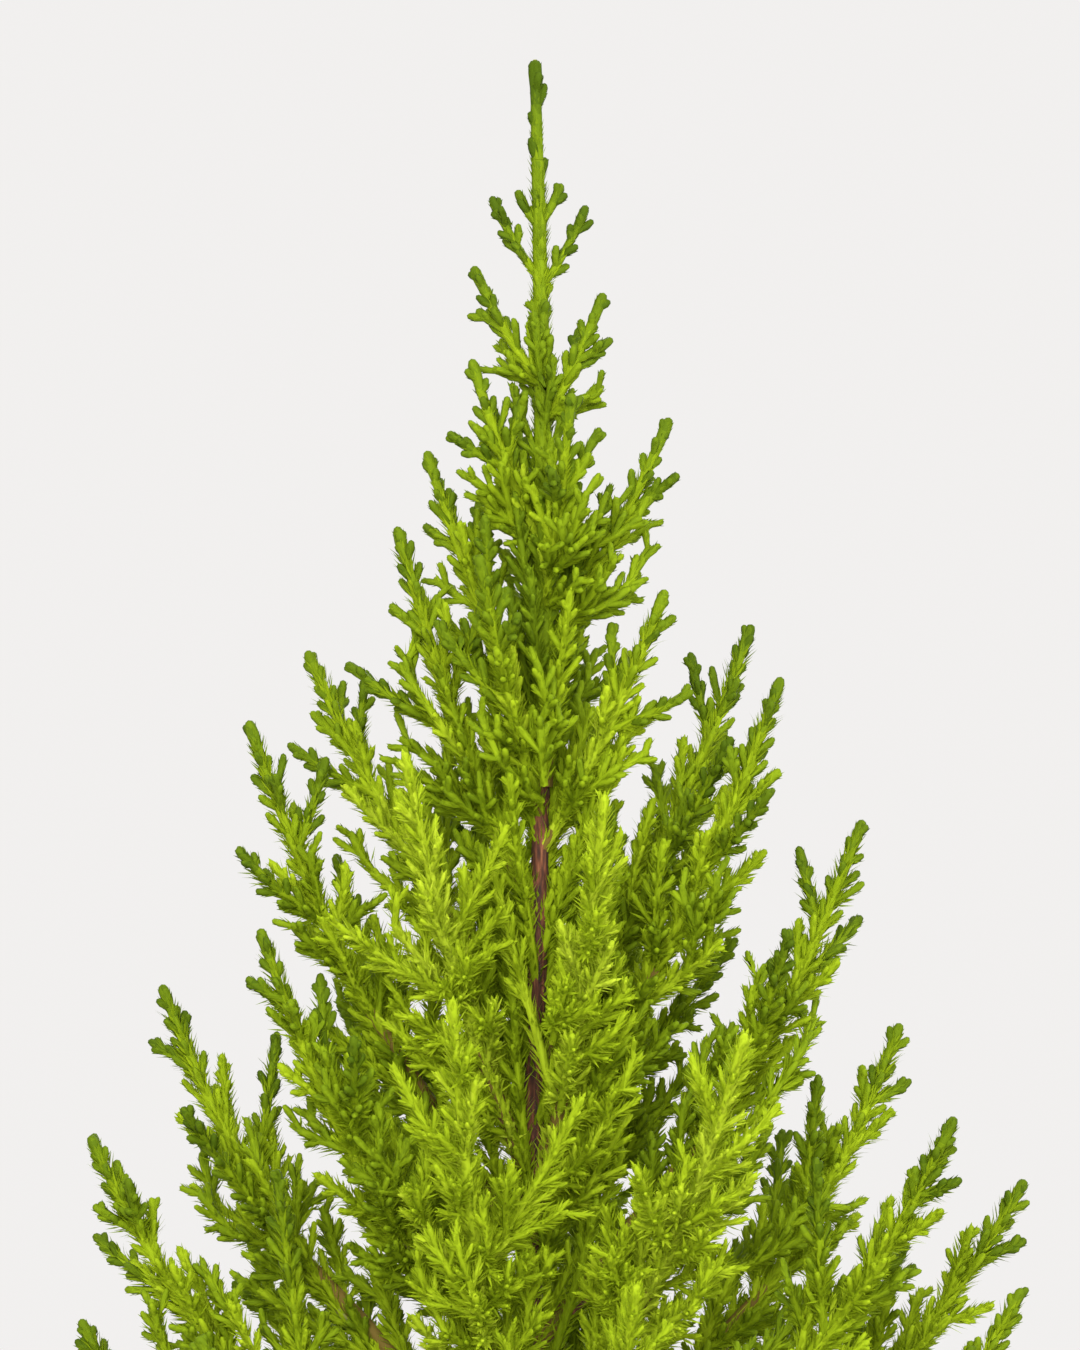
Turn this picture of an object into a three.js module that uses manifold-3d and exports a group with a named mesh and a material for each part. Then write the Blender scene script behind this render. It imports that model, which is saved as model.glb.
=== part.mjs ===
// A young lemon-scented golden cypress in a plain round clay pot.
// Millimetres, +Z up, +X to the right, -Y to the front. The origin is the middle of the pot's flat underside.
//
// The trunk is one piece from its flat cut on the soil to the tip of the leader. Each bough of the lower
// crown is a tapering limb that ends inside its own mass of foliage; the other masses sit straight on the
// trunk. Every mass is a plume: one long spindle round its own curve, with side sprays in a spiral round it.

import * as THREE from "three";
import { mergeVertices } from "three/addons/utils/BufferGeometryUtils.js";
import Module from "manifold-3d";

const wasm = await Module();
wasm.setup();

// ---- Driving dimensions ----

const GAP = 0.3; // left between neighbouring solids

const POT = {
  height: 150,
  footRadius: 58,
  collarRadius: 76, // the wall just under the collar
  rimRadius: 84,
  rimDepth: 30,
  wall: 7,
  base: 10,
  soilDrop: 12, // soil surface below the rim
  sides: 24,
};
const SOIL_LEVEL = POT.height - POT.soilDrop;

const TRUNK = {
  height: 545, // flat cut to tip
  footRadius: 5.5,
  tipRadius: 0.6,
  taper: 1.15,
  flare: 4, // how far the root flare stands out at the soil
  flareHeight: 8,
  buttresses: 4,
  sway: 2.6, // how far the stem wanders to the side
  swayLength: 1.1, // one full wander, in trunk heights
  swayStart: 0.45,
  sides: 8,
  rings: 16,
};

const LIMB = {
  share: 0.24, // of a bough's length that is bare
  bury: 5, // how far a limb reaches into its mass
  rootRadius: 0.42, // of the trunk's radius there
  endRadius: 0.9,
  sides: 5,
  rings: 2,
};

// A plume is narrow for its newest growth and widens with the distance from its tip.
const PLUME = {
  tipRadius: 1.9,
  widening: 0.27,
  girth: 24, // greatest half width
  rounding: 0.16, // share of the length over which the inner end opens out
  unevenness: 0.22,
  elbow: { low: 0.69, high: 0.56 }, // where the bough's curve bends, as a share of its reach
  lift: { low: 0.37, high: 0.43 }, // and of its rise
  lowBelow: 110, // boughs that leave the trunk under this height bend as low ones do
  highAbove: 270, // and over this height as high ones
  clearance: 2.4, // left between one mass and the next
  tracePoints: 9, // steps along each curve that the neighbours keep clear of
  sides: 6,
  rings: 5,
};

// Side sprays leave a plume at these shares of its length, each turned from the last by a golden turn.
const SPRAY = {
  first: 0.22,
  step: 0.25,
  length: 0.66, // of the plume beyond it
  spread: 36, // degrees off the plume
  lift: 0.3, // how far a spray's heading turns up
  rise: 0.12, // and how far its tip curls up, as a share of its length
  goldenTurn: 137.5,
  girth: 15,
  sides: 4,
  rings: 3,
};

// Each row: height on the trunk, direction (degrees from +X towards the back), reach and height of the tip,
// number of side sprays, and the direction of the first spray round the row's own curve.
const TRUNK_PLUMES = [
  { name: "crest_left", from: 428, turn: 192, reach: 19, top: 483, sprays: 1, phase: 250 },
  { name: "crest_right", from: 432, turn: 350, reach: 21, top: 475, sprays: 1, phase: 200 },
  { name: "upper_left", from: 388, turn: 205, reach: 21, top: 455, sprays: 2, phase: 90 },
  { name: "upper_right", from: 362, turn: 8, reach: 41, top: 438, sprays: 2, phase: 270 },
  { name: "upper_front", from: 380, turn: 290, reach: 32, top: 444, sprays: 2, phase: 60 },
  { name: "upper_back", from: 372, turn: 100, reach: 34, top: 440, sprays: 2, phase: 120 },
  { name: "shoulder_left", from: 340, turn: 172, reach: 33, top: 428, sprays: 2, phase: 200 },
  { name: "shoulder_front", from: 318, turn: 248, reach: 44, top: 396, sprays: 2, phase: 0 },
  { name: "shoulder_right", from: 305, turn: 338, reach: 42, top: 386, sprays: 2, phase: 100 },
  { name: "shoulder_back", from: 312, turn: 75, reach: 50, top: 396, sprays: 2, phase: 30 },
  { name: "mid_left_high", from: 284, turn: 190, reach: 42, top: 405, sprays: 2, phase: 90 },
  { name: "mid_left", from: 250, turn: 152, reach: 79, top: 368, sprays: 3, phase: 355 },
  { name: "mid_right", from: 238, turn: 28, reach: 75, top: 376, sprays: 3, phase: 355 },
  { name: "mid_back", from: 226, turn: 98, reach: 78, top: 345, sprays: 2, phase: 45 },
  { name: "mid_right_low", from: 212, turn: 348, reach: 75, top: 360, sprays: 3, phase: 265 },
  { name: "mid_front_left", from: 205, turn: 232, reach: 62, top: 338, sprays: 3, phase: 60 },
  { name: "mid_front", from: 190, turn: 288, reach: 66, top: 326, sprays: 3, phase: 300 },
  { name: "mid_left_low", from: 186, turn: 184, reach: 86, top: 347, sprays: 3, phase: 355 },
  { name: "mid_back_right", from: 176, turn: 66, reach: 88, top: 318, sprays: 2, phase: 0 },
  { name: "base_right", from: 34, turn: 354, reach: 146, top: 178, sprays: 3, phase: 90 },
  { name: "base_left", from: 30, turn: 166, reach: 143, top: 164, sprays: 3, phase: 270 },
  { name: "base_front", from: 24, turn: 262, reach: 118, top: 122, sprays: 3, phase: 90 },
  { name: "base_back", from: 22, turn: 92, reach: 122, top: 126, sprays: 2, phase: 0 },
  { name: "base_front_right", from: 20, turn: 312, reach: 116, top: 112, sprays: 2, phase: 180 },
];

const BOUGHS = [
  { name: "low_right", from: 156, turn: 4, reach: 99, top: 317, sprays: 3, phase: 355 },
  { name: "low_left", from: 146, turn: 206, reach: 90, top: 286, sprays: 3, phase: 175 },
  { name: "low_back_left", from: 134, turn: 122, reach: 112, top: 262, sprays: 3, phase: 60 },
  { name: "low_front_right", from: 124, turn: 304, reach: 108, top: 258, sprays: 3, phase: 30 },
  { name: "low_left_far", from: 114, turn: 162, reach: 120, top: 266, sprays: 3, phase: 175 },
  { name: "low_front_left", from: 106, turn: 256, reach: 98, top: 268, sprays: 3, phase: 200 },
  { name: "low_right_far", from: 100, turn: 20, reach: 119, top: 254, sprays: 3, phase: 175 },
  { name: "low_back", from: 92, turn: 80, reach: 118, top: 248, sprays: 3, phase: 120 },
  { name: "low_right_front", from: 84, turn: 334, reach: 136, top: 232, sprays: 3, phase: 175 },
  { name: "skirt_left", from: 78, turn: 190, reach: 134, top: 224, sprays: 3, phase: 265 },
  { name: "skirt_right", from: 72, turn: 6, reach: 149, top: 208, sprays: 3, phase: 175 },
  { name: "skirt_front", from: 62, turn: 282, reach: 138, top: 190, sprays: 3, phase: 250 },
  { name: "skirt_back_left", from: 56, turn: 130, reach: 140, top: 182, sprays: 3, phase: 250 },
  { name: "skirt_front_left", from: 50, turn: 226, reach: 138, top: 172, sprays: 3, phase: 270 },
  { name: "skirt_back_right", from: 44, turn: 50, reach: 140, top: 174, sprays: 2, phase: 270 },
  { name: "skirt_front_right", from: 40, turn: 318, reach: 138, top: 166, sprays: 3, phase: 90 },
];

// The foliage round the top of the leader, with its pairs of short side shoots.
const SPIRE = {
  from: 452,
  over: 3, // how far it stands above the trunk's tip
  radius: 2.4,
  swelling: 2.6, // extra half width at its foot
  shoots: [
    { at: 478, length: 30, turn: 190 },
    { at: 477, length: 28, turn: 350 },
    { at: 494, length: 14, turn: 165 },
    { at: 496, length: 14, turn: 15 },
  ],
  shootRadius: 1.9,
  shootLean: 30, // degrees off the trunk
  shootSize: { sides: 4, rings: 3 },
  sides: 5,
  rings: 8,
};

const COLOURS = {
  clay: 0xa9603f,
  soil: 0x2c2018,
  bark: 0x6b4a2c,
  foliage: 0x86a81e,
};

// ---- Small helpers ----

const radians = THREE.MathUtils.degToRad;

// A repeatable number from -1 to 1 for each pair of whole numbers.
function wobble(a, b) {
  const wave = Math.sin(a * 12.9898 + b * 78.233) * 43758.5453;
  return 2 * (wave - Math.floor(wave)) - 1;
}

function outward(turn) {
  return new THREE.Vector3(Math.cos(radians(turn)), Math.sin(radians(turn)), 0);
}

function up(height) {
  return new THREE.Vector3(0, 0, height);
}

// ---- Wrapping unit solids round a curve ----

// Bends a unit cylinder or sphere, whose long axis is Y, round a curve. shareOf turns the unit's y into a
// share of the curve, and radiusAt(share, turn, centre, direction) gives the half width there: centre is the
// curve's point at that share, and direction points from it to the surface.
function wrap(unit, curve, rings, shareOf, radiusAt) {
  unit.deleteAttribute("normal");
  unit.deleteAttribute("uv");
  const geometry = mergeVertices(unit, 1e-4);
  const frames = curve.computeFrenetFrames(rings);
  const position = geometry.attributes.position;
  for (let i = 0; i < position.count; i++) {
    const [x, y, z] = [position.getX(i), position.getY(i), position.getZ(i)];
    const share = THREE.MathUtils.clamp(shareOf(y), 0, 1);
    const ring = Math.round(share * rings);
    const point = curve.getPointAt(share);
    if (Math.hypot(x, z) > 1e-3) {
      const turn = Math.atan2(z, x);
      const direction = frames.normals[ring]
        .clone()
        .multiplyScalar(Math.cos(turn))
        .addScaledVector(frames.binormals[ring], -Math.sin(turn));
      point.addScaledVector(direction, radiusAt(share, turn, point, direction));
    }
    position.setXYZ(i, point.x, point.y, point.z);
  }
  return geometry;
}

// Flat at both ends: the trunk and the limbs.
function tube(curve, { sides, rings }, radiusAt) {
  return wrap(new THREE.CylinderGeometry(1, 1, 2, sides, rings), curve, rings, (y) => (y + 1) / 2, radiusAt);
}

// Pointed at both ends: foliage.
function spindle(curve, { sides, rings }, radiusAt) {
  const shareOf = (y) => Math.acos(THREE.MathUtils.clamp(-y, -1, 1)) / Math.PI;
  return wrap(new THREE.SphereGeometry(1, sides, rings), curve, rings, shareOf, radiusAt);
}

// ---- Solids ----

function solidOf(geometry) {
  const merged = mergeVertices(geometry, 1e-4);
  return new wasm.Manifold(
    new wasm.Mesh({
      numProp: 3,
      vertProperties: new Float32Array(merged.attributes.position.array),
      triVerts: new Uint32Array(merged.index.array),
    }),
  );
}

function geometryOf(solid) {
  const made = solid.getMesh();
  const geometry = new THREE.BufferGeometry();
  geometry.setAttribute("position", new THREE.BufferAttribute(new Float32Array(made.vertProperties), 3));
  geometry.setIndex(new THREE.BufferAttribute(new Uint32Array(made.triVerts), 1));
  geometry.computeVertexNormals();
  return geometry;
}

function boxesMeet(a, b) {
  const [one, two] = [a.boundingBox(), b.boundingBox()];
  return [0, 1, 2].every((i) => one.min[i] <= two.max[i] && two.min[i] <= one.max[i]);
}

function largestBody(solid) {
  return solid.decompose().reduce((best, body) => (body.volume() > best.volume() ? body : best));
}

// The largest body of what is left of a solid, once its neighbours and the gap round them are cut away.
function cutRound(solid, cutters) {
  let left = solid;
  for (const cutter of cutters.filter((cutter) => boxesMeet(solid, cutter))) {
    const cut = left.subtract(cutter);
    if (left !== solid) left.delete();
    left = cut;
  }
  return largestBody(left);
}

// ---- Trunk ----

// The trunk's centre at a height above the soil: it wanders a little on its way up.
function trunkAt(height) {
  const share = height / TRUNK.height;
  const wander = (2 * Math.PI * (share - TRUNK.swayStart)) / TRUNK.swayLength;
  const sideways = new THREE.Vector3(TRUNK.sway * Math.sin(wander), (TRUNK.sway / 2) * Math.cos(wander), 0);
  return sideways.add(up(SOIL_LEVEL + height));
}

function trunkRadius(height) {
  const left = Math.pow(Math.max(0, 1 - height / TRUNK.height), TRUNK.taper);
  return TRUNK.tipRadius + (TRUNK.footRadius - TRUNK.tipRadius) * left;
}

class TrunkCurve extends THREE.Curve {
  getPoint(share, target = new THREE.Vector3()) {
    // Rings lie closer together at the foot, where the flare is.
    return target.copy(trunkAt(TRUNK.height * Math.pow(share, 1.5)));
  }
  getPointAt(share, target) {
    return this.getPoint(share, target);
  }
}

function trunkSolid(extra) {
  const flareAt = (height, turn) =>
    TRUNK.flare * Math.exp(-height / TRUNK.flareHeight) * (1 + 0.35 * Math.cos(TRUNK.buttresses * turn));
  const geometry = tube(new TrunkCurve(), TRUNK, (share, turn, centre) => {
    const height = centre.z - SOIL_LEVEL;
    return trunkRadius(height) + flareAt(height, turn) + extra;
  });
  // The foot is cut level, whatever way the stem leans there.
  const position = geometry.attributes.position;
  for (let i = 0; i < position.count; i++) {
    if (position.getZ(i) < SOIL_LEVEL + 1) position.setZ(i, SOIL_LEVEL);
  }
  return solidOf(geometry);
}

// ---- Boughs and plumes ----

function boughCurve({ from, turn, reach, top }, root = trunkAt(from)) {
  const rise = top - from;
  const high = THREE.MathUtils.clamp((from - PLUME.lowBelow) / (PLUME.highAbove - PLUME.lowBelow), 0, 1);
  const elbowShare = THREE.MathUtils.lerp(PLUME.elbow.low, PLUME.elbow.high, high);
  const liftShare = THREE.MathUtils.lerp(PLUME.lift.low, PLUME.lift.high, high);
  const tip = outward(turn).multiplyScalar(reach).add(up(SOIL_LEVEL + top));
  const elbow = root
    .clone()
    .add(outward(turn).multiplyScalar(reach * elbowShare))
    .add(up(rise * liftShare));
  return new THREE.QuadraticBezierCurve3(root, elbow, tip);
}

// The part of a curve between two shares of its length, as a curve of its own.
function stretch(curve, start, end) {
  const points = [0, 0.25, 0.5, 0.75, 1].map((t) => curve.getPointAt(THREE.MathUtils.lerp(start, end, t)));
  return new THREE.CatmullRomCurve3(points);
}

// A side spray: it leaves the plume at an angle, turned by `around` about it, and curls up towards its tip.
function sprayCurve(plume, share, around) {
  const root = plume.getPointAt(share);
  const along = plume.getTangentAt(share);
  const side = new THREE.Vector3().crossVectors(along, up(1)).normalize();
  side.applyAxisAngle(along, radians(around));
  const length = plume.getLength() * (1 - share) * SPRAY.length;
  const heading = along
    .clone()
    .multiplyScalar(Math.cos(radians(SPRAY.spread)))
    .addScaledVector(side, Math.sin(radians(SPRAY.spread)))
    .add(up(SPRAY.lift))
    .normalize();
  const elbow = root.clone().addScaledVector(heading, length / 2);
  const tip = root.clone().addScaledVector(heading, length).add(up(length * SPRAY.rise));
  return new THREE.QuadraticBezierCurve3(root, elbow, tip);
}

// Half width of foliage at a share of its curve: a narrow tip, a wide middle and a closing inner end.
function plumeRadius(length, girth, share) {
  const fromTip = (1 - share) * length;
  const widened = Math.min(girth, PLUME.tipRadius + PLUME.widening * fromTip);
  return widened * THREE.MathUtils.smoothstep(share, -0.02, PLUME.rounding);
}

// Every mass of foliage, as the curves that it is built round.
function planMass(bough, index, bare) {
  const whole = boughCurve(bough);
  const plume = stretch(whole, bare, 1);
  const sprays = Array.from({ length: bough.sprays }, (_, k) =>
    sprayCurve(plume, SPRAY.first + SPRAY.step * k, bough.phase + SPRAY.goldenTurn * k),
  );
  return { name: bough.name, index, whole, plume, sprays };
}

// A half width that stays nearer to its own curve than to any curve of another mass.
function roomFor(centre, direction, wanted, neighbours) {
  let room = wanted;
  for (const point of neighbours) {
    const away = point.clone().sub(centre);
    const ahead = away.dot(direction);
    if (ahead > 0) room = Math.min(room, away.lengthSq() / (2 * ahead) - PLUME.clearance / 2);
  }
  return Math.max(room, 0.8);
}

function massSolid(mass, neighbours, extra) {
  const around = (curve, girth, size, seed) =>
    solidOf(
      spindle(curve, size, (share, turn, centre, direction) => {
        const place = Math.round(share * 40) + Math.round(turn * 10);
        const bump = 1 + PLUME.unevenness * wobble(mass.index * 7 + seed, place);
        const wanted = plumeRadius(curve.getLength(), girth, share) * bump;
        return roomFor(centre, direction, wanted, neighbours) + extra;
      }),
    );
  const main = around(mass.plume, PLUME.girth, PLUME, 0);
  return mass.sprays.reduce((sum, curve, k) => sum.add(around(curve, SPRAY.girth, SPRAY, k + 1)), main);
}

function limbSolid(bough, whole, extra) {
  const end = LIMB.share + (LIMB.bury + extra) / whole.getLength();
  const root = LIMB.rootRadius * trunkRadius(bough.from);
  const radiusAt = (share) => THREE.MathUtils.lerp(root, LIMB.endRadius, share) + extra;
  return solidOf(tube(stretch(whole, 0, end), LIMB, radiusAt));
}

function spireSolid(extra) {
  const foot = trunkAt(SPIRE.from);
  const tip = trunkAt(TRUNK.height).add(up(SPIRE.over));
  const middle = trunkAt((SPIRE.from + TRUNK.height) / 2);
  const stem = new THREE.CatmullRomCurve3([foot, middle, tip]);
  const main = solidOf(
    spindle(stem, SPIRE, (share, turn) => {
      const swelling = SPIRE.swelling * THREE.MathUtils.smoothstep(0.6 - share, 0, 0.5);
      const closing = THREE.MathUtils.smoothstep(share, -0.05, 0.12);
      const bump = 1 + 0.15 * wobble(Math.round(share * 20), Math.round(turn * 10));
      return (SPIRE.radius + swelling) * closing * bump + extra;
    }),
  );
  return SPIRE.shoots.reduce((sum, shoot) => {
    const root = trunkAt(shoot.at);
    const heading = outward(shoot.turn)
      .multiplyScalar(Math.sin(radians(SPIRE.shootLean)))
      .add(up(Math.cos(radians(SPIRE.shootLean))));
    const end = root.clone().addScaledVector(heading, shoot.length);
    const curve = new THREE.LineCurve3(root, end);
    return sum.add(solidOf(spindle(curve, SPIRE.shootSize, () => SPIRE.shootRadius + extra)));
  }, main);
}

// ---- Pot and soil ----

function turned(profile) {
  const points = profile.map(([radius, height]) => new THREE.Vector2(radius, height));
  const geometry = new THREE.LatheGeometry(points, POT.sides);
  geometry.rotateX(Math.PI / 2);
  return geometry;
}

// The pot's inner wall at a height.
function innerRadius(height) {
  const share = height / (POT.height - POT.rimDepth);
  return POT.footRadius + (POT.collarRadius - POT.footRadius) * share - POT.wall;
}

function potGeometry() {
  const collar = POT.height - POT.rimDepth;
  return turned([
    [0, 0],
    [POT.footRadius, 0],
    [POT.collarRadius, collar],
    [POT.rimRadius - 2, collar + 1],
    [POT.rimRadius, POT.height - 3],
    [POT.rimRadius - 2, POT.height],
    [innerRadius(POT.height) + 1, POT.height],
    [innerRadius(POT.base), POT.base],
    [0, POT.base],
  ]);
}

function soilGeometry() {
  const bottom = POT.base + GAP;
  return turned([
    [0, bottom],
    [innerRadius(bottom) - GAP, bottom],
    [innerRadius(SOIL_LEVEL) - GAP, SOIL_LEVEL],
    [0, SOIL_LEVEL],
  ]);
}

// ---- Assembly ----

const MATERIALS = {
  clay: new THREE.MeshStandardMaterial({ color: COLOURS.clay, roughness: 0.85, metalness: 0 }),
  soil: new THREE.MeshStandardMaterial({ color: COLOURS.soil, roughness: 1, metalness: 0 }),
  bark: new THREE.MeshStandardMaterial({ color: COLOURS.bark, roughness: 0.9, metalness: 0 }),
  foliage: new THREE.MeshStandardMaterial({ color: COLOURS.foliage, roughness: 0.6, metalness: 0 }),
};

function named(name, geometry, material) {
  const mesh = new THREE.Mesh(geometry, material);
  mesh.name = name;
  return mesh;
}

const tree = new THREE.Group();
tree.add(named("pot", potGeometry(), MATERIALS.clay));
tree.add(named("soil", soilGeometry(), MATERIALS.soil));

const cutters = []; // each solid placed so far, uncut and with the gap round it

const masses = [
  ...TRUNK_PLUMES.map((bough, i) => planMass(bough, i, 0)),
  ...BOUGHS.map((bough, i) => planMass(bough, TRUNK_PLUMES.length + i, LIMB.share)),
];

// Adds a solid, cut round those before it. make(extra) makes it with that much added to its half width.
function place(name, make, material) {
  tree.add(named(name, geometryOf(cutRound(make(0), cutters)), material));
  cutters.push(make(GAP));
}

place("trunk", trunkSolid, MATERIALS.bark);
BOUGHS.forEach((bough, i) => {
  const { whole } = masses[TRUNK_PLUMES.length + i];
  place("bough_" + bough.name, (extra) => limbSolid(bough, whole, extra), MATERIALS.bark);
});
place("foliage_spire", spireSolid, MATERIALS.foliage);

// Points along each mass's curves, which its neighbours keep their distance from.
const traces = masses.map(({ plume, sprays }) =>
  [plume, ...sprays].flatMap((curve) => curve.getPoints(PLUME.tracePoints)),
);

for (const mass of masses) {
  const neighbours = traces.flatMap((trace, i) => (i === mass.index ? [] : trace));
  place("foliage_" + mass.name, (extra) => massSolid(mass, neighbours, extra), MATERIALS.foliage);
}

export default tree;
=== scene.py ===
from math import cos, hypot, pi, radians, sin, tan

import bpy
import numpy as np
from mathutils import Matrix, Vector, noise
from mathutils.bvhtree import BVHTree


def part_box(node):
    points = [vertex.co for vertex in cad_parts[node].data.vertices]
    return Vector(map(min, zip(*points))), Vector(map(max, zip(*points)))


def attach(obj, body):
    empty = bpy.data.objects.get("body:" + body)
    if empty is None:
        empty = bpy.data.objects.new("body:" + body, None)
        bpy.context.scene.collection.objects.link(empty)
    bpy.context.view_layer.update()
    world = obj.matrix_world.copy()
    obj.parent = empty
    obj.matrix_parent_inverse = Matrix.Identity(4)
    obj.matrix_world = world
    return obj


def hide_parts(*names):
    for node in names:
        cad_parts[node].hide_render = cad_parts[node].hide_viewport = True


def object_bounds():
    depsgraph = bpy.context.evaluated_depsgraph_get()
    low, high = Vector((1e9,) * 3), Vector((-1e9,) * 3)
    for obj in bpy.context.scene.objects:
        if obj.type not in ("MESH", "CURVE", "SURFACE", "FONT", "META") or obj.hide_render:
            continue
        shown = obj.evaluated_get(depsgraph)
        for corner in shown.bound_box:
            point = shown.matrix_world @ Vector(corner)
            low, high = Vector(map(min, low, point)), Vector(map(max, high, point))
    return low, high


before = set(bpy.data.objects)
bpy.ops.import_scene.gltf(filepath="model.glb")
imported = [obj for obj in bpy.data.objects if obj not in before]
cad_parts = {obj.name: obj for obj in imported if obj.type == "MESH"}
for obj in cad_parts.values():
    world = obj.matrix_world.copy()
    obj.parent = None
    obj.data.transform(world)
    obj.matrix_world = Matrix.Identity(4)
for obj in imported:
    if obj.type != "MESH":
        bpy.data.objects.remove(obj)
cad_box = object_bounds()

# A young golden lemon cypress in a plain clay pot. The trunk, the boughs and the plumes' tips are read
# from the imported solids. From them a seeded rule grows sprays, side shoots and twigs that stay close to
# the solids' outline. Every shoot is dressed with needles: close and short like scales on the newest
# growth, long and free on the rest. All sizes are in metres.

MM = 0.001
GOLDEN_TURN = radians(137.508)
UP = np.array([0.0, 0.0, 1.0])
EVERY = slice(None)  # all rows
scene = bpy.context.scene
rng = np.random.default_rng(20)

# ---- Named sizes ----

# The bend of a bough, as in the solids: where its elbow lies between its root and its tip, by how high
# above the soil the root is.
BEND_HEIGHTS = (110 * MM, 270 * MM)
ELBOW_OUT = (0.69, 0.56)
ELBOW_UP = (0.37, 0.43)

# Reading sprays from the solids. A vertex is the point of one if its corners add up to less than this.
SPIKE_ANGLE = radians(185)
SPRAY_LEAN = radians(38)  # between a spray and the plume that it leaves
LONG_REACH, REACH_COST = 25 * MM, 4  # past the first, a metre counts as so many radians off the lean
SPRAY_SAG = 0.07  # how far a spray's middle hangs below a straight line, as a share of its length
SPIKE_FROM_AXIS, SPIKE_FROM_TIP = 9 * MM, 4 * MM  # nearer to the plume's own axis or tip it is no spray
LEAST_REACH = 12 * MM
SPIRE_FROM_TRUNK = 5 * MM
SPIRE_LEAN = radians(30)

# Side shoots of each order. At a distance d from its parent's tip, a shoot is
# start + growth * d * d / (d + slow) long, so that the newest are stubs. lean is in degrees.
SPRAYS = dict(
    spacing=13 * MM, first=18 * MM, bare=0.16, start=6 * MM, growth=0.46, slow=10 * MM, longest=62 * MM,
    lean=41, rise=0.1, curl=0.45, shortest=9 * MM,
)
SIDE_SHOOTS = dict(
    spacing=2.7 * MM, first=4.2 * MM, bare=0.06, start=3.8 * MM, growth=0.36, slow=13 * MM,
    longest=11 * MM, lean=41, rise=0.06, curl=0.55, shortest=3 * MM,
)
# On the filling sprays, which are bushy up to their tips.
BUSHY_SHOOTS = SIDE_SHOOTS | dict(spacing=3.2 * MM, first=2.5 * MM, start=7.5 * MM, growth=0.28, lean=40)
TWIGS = SIDE_SHOOTS | dict(
    spacing=6.0 * MM, first=5.5 * MM, bare=0.2, start=3.4 * MM, slow=6 * MM, longest=8 * MM, lean=42,
    curl=0.5, shortest=3.4 * MM,
)
# Shoots that grow straight from the trunk, among the boughs and up its leader.
TRUNK_SHOOTS = dict(
    spacing=4.6 * MM, first=6.5 * MM, bare=0, start=-16 * MM, growth=0.38, slow=10 * MM,
    longest=50 * MM, lean=30, rise=0.1, curl=0.7, shortest=6 * MM,
)
INNER_BOUGHS = TRUNK_SHOOTS | dict(spacing=5.2 * MM, start=0, growth=0.30, longest=80 * MM, lean=38)
LEADER_STUBS = TRUNK_SHOOTS | dict(
    spacing=5.8 * MM, first=10 * MM, start=6.4 * MM, growth=0.02, slow=0, longest=9 * MM, lean=36,
    curl=0.8, shortest=3.2 * MM,
)
STRONG = dict(share=0.10, growth=1.4)  # some side shoots outgrow the rest
# How uneven side shoots are. place is a share of the spacing.
UNEVEN = dict(place=0.35, turn=0.25, length=(0.7, 1.1), lean=5, tone=0.05)

# Sprays that reach the parts of a mass that the others leave empty. A filling spray rises by at least
# upward of its length. airy_gap is for the masses whose sprays stand further apart.
FILLING = dict(
    step=4.5 * MM, sampled=3 * MM, gap=8.3 * MM, airy_gap=9.4 * MM, inset=1.8 * MM, top_inset=-2.5 * MM,
    shortest=9 * MM, longest=60 * MM, widest_angle=radians(58), upward=0.3, feather=0.3,
)
WINDOW = dict(heights=(0.385, 0.61), half_width=3 * MM)  # where the trunk shows: shares of its height
LOW_FROM, LOW_TO = 0.60, 0.42  # the heights between which the crown turns from clubbed to feathery
STRAY = 4.5 * MM  # how far the tip of a side shoot may lie outside the masses
LEADER_STRAY = 9 * MM  # and that of a shoot from the trunk
CUT_BACK = (0.7, 0.65)  # a shoot that strays further is cut to this share, and again if need be
LEAST_SHOOT = 3 * MM  # what is shorter then is left out

# How shoots thicken: (distance from the tip, radius) in mm. New growth is clubbed, and feathery shoots
# are slim under their free needles.
CLUB = [(0.4, 0.98), (1.4, 1.48), (4.0, 1.68), (8.0, 1.36), (14, 1.25), (40, 1.5), (90, 1.9), (250, 2.8)]
SLIM = [(0.4, 0.45), (1.4, 0.70), (4.0, 0.85), (14, 0.9), (40, 1.3), (90, 1.9), (250, 2.8)]
ORDER_GIRTH = (1.12, 0.98, 0.88, 0.82)
ORDER_SLIMMING = (0.25, 0.6, 1, 1)
LEADER_GIRTH = 1.2
SHOOT_NECK = 0.25  # how much thinner side shoots are below their clubs
NECK = (3.5 * MM, 7.5 * MM)  # and where they thin, from the tip

# With their distance from their parent's tip, side shoots get looser, and stand closer to their parent.
AGED = (14 * MM, 58 * MM)
AGED_FEATHER = 0.45
AGED_LEAN = 0.2

# The leader is the trunk's upper part, clad like a shoot. Each stretch of it reaches into the next.
LEADER_FROM = 0.60  # as a share of the trunk's height
LEADER_TOP = 60 * MM  # the length of its tip, which has stubs only
LEADER_LAP, LEADER_SUNK = 1 * MM, 0.85  # by how much, and how thin it is there
BARE_FOOT = 18 * MM  # the part of the trunk under the lowest shoots

# Needles, from the close scales of new growth to the long free needles of old. per_mm is for each order
# of shoot, and widest is where along a needle its shoulders are.
NEEDLE = dict(
    per_mm=(4.2, 3.0, 2.2, 2.0), young_share=0.7, length=5.6 * MM, young_length=2.2 * MM,
    width=0.95 * MM, young_width=1.05 * MM, lean=40, young_lean=13, widest=0.35, fold=0.25,
    uneven=(0.75, 1.15), uneven_turn=0.3, uneven_lean=(2, 11), past_tip=3 * MM,
)
NEEDLE_SEAT = 0.9  # how far from a shoot's middle its needles start, as a share of its radius
BARE_TIP = 2.2 * MM  # the rounded end of a clubbed shoot, which no needle stands past
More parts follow.
